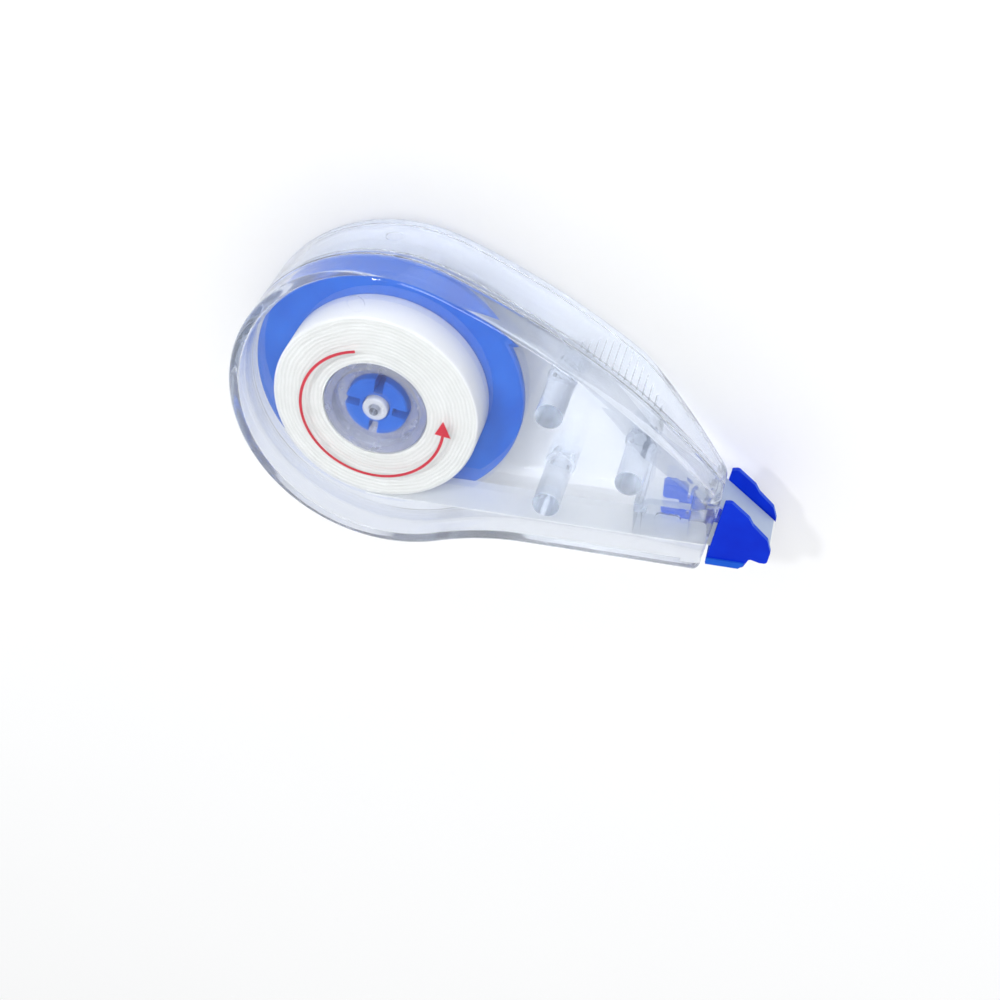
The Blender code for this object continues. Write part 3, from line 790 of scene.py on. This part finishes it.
def front_pegs(material):
    """Three guide pegs and the axle pin that hang from the window."""
    root = CASE_TOP - WALL / 2
    axle_pin_radius = 0.5
    axle_pin_length = 2.4
    bm = bmesh.new()
    turned(bm, [(0.0, root), (axle_pin_radius, root),
                (axle_pin_radius, WINDOW_INSIDE - axle_pin_length),
                (0.0, WINDOW_INSIDE - axle_pin_length)])
    for centre in PEGS.values():
        turned(bm, [(0.0, root), (PEG_RADIUS, root), (PEG_RADIUS, PEG_SPLIT + EDGE),
                    (PEG_RADIUS - EDGE, PEG_SPLIT), (PIN_RADIUS, PEG_SPLIT),
                    (PIN_RADIUS, PEG_SPLIT - PIN_LENGTH), (0.0, PEG_SPLIT - PIN_LENGTH)],
               centre)
    return make_object("front_pegs", bm, material)


def front_shell(material):
    """Window, rim and locating lip, with the pegs and the nose opening."""
    parting = shifted(parting_height, PART_GAP)
    levels = quarter_round(FRONT_FILLET, lambda x: CASE_TOP, inset=0.0, upwards=False,
                           steps=FRONT_FILLET_STEPS)
    levels += quarter_round(EDGE, parting, inset=0.0, upwards=True, steps=EDGE_STEPS)[::-1]
    levels += [(LIP_INSET, parting)]
    levels += [(LIP_INSET, shifted(parting_height, -LIP_DEPTH))]
    levels += [(WALL, shifted(parting_height, -LIP_DEPTH))]
    levels += quarter_round(WINDOW_FILLET, lambda x: WINDOW_INSIDE, inset=WALL,
                            upwards=False, steps=WINDOW_FILLET_STEPS)[::-1]
    bm = bmesh.new()
    shell_body(bm, levels)
    shell = make_object("clear_front_shell", bm, material)
    mark_place = (WINDOW_MARK_X, WINDOW_MARK_Y, WINDOW_INSIDE)
    mark_normal = (0.0, 0.0, 1.0)
    window_mark = disc_cutter("window_mark", mark_place, mark_normal, WINDOW_MARK_RADIUS,
                              material)
    combine(shell, [("UNION", front_pegs(material)),
                    ("DIFFERENCE", nose_mouth(material)),
                    ("DIFFERENCE", window_mark)])
    even_normals(shell)
    return shell


def turning_arrow(material):
    """Plain printed arrow, just under the window's face, for the way the reel turns."""
    reel_axis = (0.0, 0.0)
    top = CASE_TOP - ARROW_COVER
    steps = 70
    bm = bmesh.new()
    outer = arc(reel_axis, ARROW_RADIUS + ARROW_WIDTH / 2, ARROW_START, ARROW_END, steps)
    inner = arc(reel_axis, ARROW_RADIUS - ARROW_WIDTH / 2, ARROW_START, ARROW_END, steps)
    tip = arc(reel_axis, ARROW_RADIUS, ARROW_END, ARROW_END + ARROW_HEAD_ANGLE, 1)[-1]
    barbs = [arc(reel_axis, ARROW_RADIUS + side * ARROW_HEAD_HALF, ARROW_END, ARROW_END, 1)[0]
             for side in (1, -1)]
    extruded(bm, outer + [barbs[0], tip, barbs[1]] + inner[::-1], top - ARROW_DEPTH, top)
    return make_object("turning_arrow", bm, material)


# ---------------------------------------------------------------- reels

def roll_profile():
    """Section of the wound roll: its two faces are uneven where layers stand proud."""
    core_fit = 0.12
    bore = CORE_RADIUS + core_fit
    layers = 30
    edge = 0.25
    proud = 0.06
    face = []
    for k in range(layers + 1):
        radius = bore + (ROLL_RADIUS - edge - bore) * k / layers
        # two waves out of step with the layers look irregular
        step = proud * (0.5 + 0.3 * math.sin(2.1 * k) + 0.2 * math.sin(5.3 * k + 1.0))
        face.append((radius, step))
    corner = [(ROLL_RADIUS - edge * 0.3, edge * 0.35), (ROLL_RADIUS, edge)]
    top = [(radius, ROLL_TOP - step) for radius, step in face + corner]
    bottom = [(radius, ROLL_BOTTOM + step) for radius, step in face + corner]
    return bottom + top[::-1]


def tape_roll(material):
    """Wound roll, turned from its uneven section."""
    bm = bmesh.new()
    turned(bm, roll_profile(), segments=144)
    roll = make_object("wound_roll", bm, material, smooth_angle=60.0)
    stand_for(roll, "tape_roll", "supply_assembly")


def supply_core(material):
    """Tube that the tape is wound on, with a web that runs on the blue hub."""
    tube_wall = 0.9
    tube_inside = CORE_RADIUS - tube_wall
    hub_fit = 0.1
    web_inside = HUB_RADIUS + hub_fit
    web_drop, web_thickness = 1.5, 1.2
    web_top = ROLL_TOP - web_drop
    web_bottom = web_top - web_thickness
    bm = bmesh.new()
    turned(bm, [(CORE_RADIUS, ROLL_BOTTOM), (CORE_RADIUS, ROLL_TOP - EDGE),
                (CORE_RADIUS - EDGE, ROLL_TOP), (tube_inside + EDGE, ROLL_TOP),
                (tube_inside, ROLL_TOP - EDGE), (tube_inside, web_top),
                (web_inside + EDGE, web_top), (web_inside, web_top - EDGE),
                (web_inside, web_bottom), (tube_inside, web_bottom),
                (tube_inside, ROLL_BOTTOM)], segments=96)
    core = make_object("clear_core", bm, material)
    even_normals(core)
    stand_for(core, "supply_core", "supply_assembly")


def takeup_reel(material):
    """Blue disc with the hub in front of it and the drum for the spent liner behind it."""
    bore = AXLE_RADIUS + AXLE_FIT
    hub_top = REEL_HIGH.z
    drum_wall = 0.9
    drum_inside = DRUM_RADIUS - drum_wall
    radius = REEL_HIGH.x
    edge = 0.15
    nick = edge * 0.3
    bm = bmesh.new()
    turned(bm, [(bore, REEL_LOW.z), (HUB_RADIUS, REEL_LOW.z), (HUB_RADIUS, DISC_BOTTOM),
                (drum_inside, DISC_BOTTOM), (drum_inside, REEL_LOW.z),
                (DRUM_RADIUS, REEL_LOW.z), (DRUM_RADIUS, DISC_BOTTOM),
                (radius - edge, DISC_BOTTOM), (radius - nick, DISC_BOTTOM + nick),
                (radius, DISC_BOTTOM + edge), (radius, DISC_TOP - edge),
                (radius - nick, DISC_TOP - nick), (radius - edge, DISC_TOP),
                (HUB_RADIUS + edge, DISC_TOP), (HUB_RADIUS, DISC_TOP + edge),
                (HUB_RADIUS, hub_top - edge), (HUB_RADIUS - edge, hub_top),
                (bore + edge, hub_top), (bore, hub_top - edge)], segments=144)
    reel = make_object("blue_reel", bm, material)
    combine(reel, [("DIFFERENCE", finger_slots(hub_top, material))])
    even_normals(reel)
    stand_for(reel, "takeup_reel", "takeup_assembly")


def finger_slots(hub_top, material):
    """Four slots that part the front of the hub into friction fingers."""
    slot_count = 4
    first_slot = 80.0
    slot_depth = 3.6
    slot_half = 0.5
    sleeve_wall = 0.35
    overrun = 1.0
    inner = AXLE_RADIUS + AXLE_FIT + sleeve_wall
    outer = HUB_RADIUS + overrun
    bm = bmesh.new()
    for k in range(slot_count):
        angle = math.radians(first_slot + 360.0 * k / slot_count)
        out = Vector((math.cos(angle), math.sin(angle)))
        side = Vector((-out.y, out.x)) * slot_half
        outline = [out * inner - side, out * outer - side, out * outer + side,
                   out * inner + side]
        extruded(bm, outline, hub_top - slot_depth, hub_top + overrun)
    return make_object("finger_slots", bm, material)


# ---------------------------------------------------------------- spent liner

def wrap_offset(radius):
    """Centre line of a ribbon that lies on a round guide of the given radius."""
    return radius + RIBBON_FIT + RIBBON_THICKNESS / 2


def nearest_turn(leave, arrive):
    """The leaving angle, given in the same turn as the arriving one."""
    return leave + 360.0 * round((arrive - leave) / 360.0)


def liner_path():
    """Over the tip, over two pegs and across to the take-up drum, in short steps."""
    guides = [(TIP_EDGE, wrap_offset(TIP_EDGE_RADIUS)),
              (SHOULDER, wrap_offset(SHOULDER_RADIUS)),
              (Vector(PEGS["nose_peg"]), wrap_offset(SOCKET_RADIUS)),
              (Vector(PEGS["high_peg"]), wrap_offset(SOCKET_RADIUS)),
              (Vector((0.0, 0.0)), wrap_offset(WRAP_RADIUS))]
    longest = 0.8
    guide_steps, drum_steps, drum_lap = 6, 3, 6.0
    end_of_tape = 4.0
    corners = []
    arrive = end_of_tape
    for here, there in zip(guides, guides[1:]):
        leave = nearest_turn(belt_angle(here, there), arrive)
        corners += arc(here[0], here[1], arrive, leave, guide_steps)
        arrive = leave
    corners += arc(guides[-1][0], guides[-1][1], arrive, arrive + drum_lap, drum_steps)
    path = [corners[0]]
    for here, there in zip(corners, corners[1:]):
        pieces = max(1, math.ceil((there - here).length / longest))
        path += [here.lerp(there, k / pieces) for k in range(1, pieces + 1)]
    return path


def liner_low(x):
    """Lower edge of the liner, which sinks from the roll's level to the drum's."""
    shift_start, shift_end = 35.0, 20.5
    drop = ROLL_BOTTOM - LINER_LOW
    share = min(max((shift_start - x) / (shift_start - shift_end), 0.0), 1.0)
    return ROLL_BOTTOM - drop * share


def liner_sections(bm, path):
    """Four corners of the ribbon at every point of its path."""
    sections = []
    for k, point in enumerate(path):
        ahead = path[min(k + 1, len(path) - 1)]
        behind = path[max(k - 1, 0)]
        along = (ahead - behind).normalized()
        side = Vector((-along.y, along.x)) * (RIBBON_THICKNESS / 2)
        low = liner_low(point.x)
        corners = [(point - side, low), (point + side, low),
                   (point + side, low + TAPE_WIDTH), (point - side, low + TAPE_WIDTH)]
        sections.append([bm.verts.new((p.x * MM, p.y * MM, z * MM)) for p, z in corners])
    return sections


def liner_run(outside_film, inside_film, fresh_film):
    """Spent liner: white at the edge, grey on the blade, see-through inside the case."""
    grey, see_through, white = range(3)
    edge_reach = 1.5 * wrap_offset(TIP_EDGE_RADIUS)
    path = liner_path()
    bm = bmesh.new()
    sections = liner_sections(bm, path)
    for here, there, point in zip(sections, sections[1:], path[1:]):
        slot = see_through if point.x < SHOULDER.x else grey
        if (point - TIP_EDGE).length < edge_reach:
            slot = white
        for k in range(4):
            after = (k + 1) % 4
            face = bm.faces.new((here[k], here[after], there[after], there[k]))
            face.material_index = slot
    bm.faces.new(sections[0])
    bm.faces.new(sections[-1])
    run = make_object("liner_run", bm, outside_film)
    run.data.materials.append(inside_film)
    run.data.materials.append(fresh_film)
    stand_for(run, "liner_return_run", "case")


# ---------------------------------------------------------------- tip

def belt_angle(here, there):
    """Angle (degrees) where a belt over two round guides leaves the first one."""
    reach = there[0] - here[0]
    lean = math.degrees(math.asin((here[1] - there[1]) / reach.length))
    return degrees_of(reach) - 90.0 + lean


def tip_blade(material):
    """Clear wedge under the tape's edge; its block in the nose has a web and two hollows."""
    belly = BLADE_LOW.y
    chamfer = 1.2
    edge_run = 2.0
    slope = belt_angle((TIP_EDGE, TIP_EDGE_RADIUS), (SHOULDER, SHOULDER_RADIUS))
    outline = [(BLADE_LEFT, belly), (TIP_EDGE.x - edge_run, belly)]
    outline += arc(TIP_EDGE, TIP_EDGE_RADIUS, -90.0, slope, 8)
    outline += arc(SHOULDER, SHOULDER_RADIUS, slope, 90.0, 8)
    outline += [(SHOULDER.x - edge_run, BLADE_TOP), (BLADE_LEFT + chamfer, BLADE_TOP),
                (BLADE_LEFT, BLADE_TOP - chamfer)]
    blade = prism("clear_blade", outline, ROLL_BOTTOM, ROLL_TOP, material)
    web_half = 0.45
    web_corners = [(BLADE_LEFT - web_half, belly), (BLADE_LEFT + web_half, belly),
                   (BLADE_LEFT + web_half, BLADE_TOP), (BLADE_LEFT - web_half, BLADE_TOP)]
    web = prism("blade_web", web_corners, BLADE_LOW.z, BLADE_HIGH.z, material)
    pocket_depth = 0.5
    overrun = 1.0
    pocket = prism("pocket", rounded_polygon(POCKET_CORNERS), ROLL_TOP - pocket_depth,
                   ROLL_TOP + overrun, material)
    window = prism("window", rounded_polygon(BLOCK_WINDOW_CORNERS), ROLL_BOTTOM - overrun,
                   ROLL_TOP + overrun, material)
    combine(blade, [("UNION", web), ("DIFFERENCE", pocket), ("DIFFERENCE", window)])
    round_edges(blade, width=0.08)
    even_normals(blade)
    stand_for(blade, "tip_blade", "case")


def tip_guard(material, foot_painted_light_material):
    """Blue guard: two cheeks beside the blade, a foot that joins them, and its inner arm."""
    inner_parts = (("arm", ARM_OUTLINE), ("clip", rounded_polygon(CLIP_CORNERS)),
                   ("wedge", rounded_polygon(WEDGE_CORNERS)),
                   ("lug", rounded_polygon(LUG_CORNERS)))
    inner_bottom, inner_top = 0.5, 0.05
    rear_top = ROLL_BOTTOM - CHEEK_GAP
    front_bottom = ROLL_TOP + CHEEK_GAP
    cheek = rounded_polygon(CHEEK_CORNERS)
    guard = prism("blue_guard", cheek, front_bottom, front_bottom + CHEEK_THICKNESS, material)
    steps = [("UNION", prism("rear_cheek", cheek, rear_top - CHEEK_THICKNESS, rear_top,
                             material))]
    # The foot and the inner parts take a lighter copy of the guard's blue, which is painted
    # light
    steps += [("UNION", prism("foot", FOOT_OUTLINE, GUARD_LOW.z, GUARD_HIGH.z,
                             foot_painted_light_material))]
    for name, outline in inner_parts:
        steps += [("UNION", prism(name, outline, rear_top - inner_bottom,
                                  rear_top - inner_top, foot_painted_light_material))]
    combine(guard, steps)
    round_edges(guard, width=0.24, segments=4)
    even_normals(guard)
    stand_for(guard, "tip_guard", "case")


# ---------------------------------------------------------------- stage

def put_camera():
    """The photograph's view: from the +Y side, looking down at the window."""
    camera = bpy.data.cameras.new("camera")
    camera.sensor_width = 36.0
    camera.lens = 57.3
    camera.clip_start = 0.01
    camera.clip_end = 5.0
    holder = bpy.data.objects.new("camera", camera)
    bpy.context.scene.collection.objects.link(holder)
    place = Vector((0.04676, 0.09801, 0.14598))
    forward = Vector((-0.18822, -0.61713, -0.76402)).normalized()
    up = Vector((-0.14822, 0.78686, -0.59907))
    right = forward.cross(up).normalized()
    up = right.cross(forward)
    turn = Matrix((right, up, -forward)).transposed()
    holder.matrix_world = Matrix.Translation(place) @ turn.to_4x4()
    bpy.context.scene.camera = holder


def area_light(name, place, target, size, energy):
    """Rectangular soft light that faces its target."""
    light = bpy.data.lights.new(name, "AREA")
    light.shape = "RECTANGLE"
    light.size = size[0]
    light.size_y = size[1]
    light.energy = energy
    holder = bpy.data.objects.new(name, light)
    bpy.context.scene.collection.objects.link(holder)
    holder.location = place
    holder.rotation_euler = (Vector(target) - Vector(place)).to_track_quat("-Z", "Y").to_euler()
    return holder


def put_world():
    """Even white surroundings."""
    world = bpy.data.worlds.new("soft_studio")
    bpy.context.scene.world = world
    world.use_nodes = True
    background = world.node_tree.nodes["Background"]
    background.inputs["Color"].default_value = (1.0, 1.0, 1.0, 1.0)
    background.inputs["Strength"].default_value = 0.78


def put_floor():
    """Plain pale floor a hair below the case."""
    bm = bmesh.new()
    half = 1.5
    drop = 0.02 * MM
    corners = [bm.verts.new((x * half, y * half, -drop)) for x, y in
               ((-1, -1), (1, -1), (1, 1), (-1, 1))]
    bm.faces.new(corners)
    floor = make_object("floor", bm, floor_paper())


def dress(node, material):
    """Give a CAD node that stays in view its material."""
    thing = bpy.data.objects[node]
    thing.data.materials.clear()
    thing.data.materials.append(material)


def put_stage():
    """Camera, floor, lights, and enough light bounces for the clear walls."""
    scene = bpy.context.scene
    scene.view_settings.view_transform = "Standard"
    put_camera()
    put_world()
    put_floor()
    scene.cycles.max_bounces = 24
    scene.cycles.glossy_bounces = 16
    scene.cycles.transmission_bounces = 24
    area_light("key", place=(0.15, 0.35, 0.55), target=(0.01, 0.0, 0.0), size=(0.45, 0.14),
               energy=1.2)
    area_light("sparkle", place=(-0.12, 0.25, 0.4), target=(0.0, 0.0, 0.01),
               size=(0.03, 0.03), energy=0.35)


def main():
    put_stage()
    clear = clear_plastic()
    milky = milky_plastic("milky_core_plastic", CORE_MILK, clearness=0.75)
    post_white = milky_plastic("milky_post_plastic", POST_MILK, clearness=0.3)
    reel_blue = blue_plastic("blue_reel_plastic", REEL_BLUES, roughness=0.35)
    guard_blue = blue_plastic("blue_guard_plastic", GUARD_BLUES, roughness=0.45)
    # Lighter copy of the guard's blue for the foot and inner parts: painted light
    foot_painted_light_blue = blue_plastic("blue_foot_plastic", FOOT_PAINTED_LIGHT_BLUES, roughness=0.45)
    rear = rear_shell(clear, post_white)
    stand_for(rear, "rear_shell", "case")
    front = front_shell(clear)
    stand_for(front, "front_shell", "case")
    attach(turning_arrow(red_print()), "case")
    supply_core(milky)
    tape_roll(wound_tape())
    takeup_reel(reel_blue)
    tip_blade(clear)
    tip_guard(guard_blue, foot_painted_light_blue)
    film = white_film()
    liner = release_liner("release_liner", opacity=1.0)
    liner_run(liner, release_liner("see_through_liner", opacity=0.15), film)
    dress("tape_run", film)
    dress("liner_wrap", liner)


main()
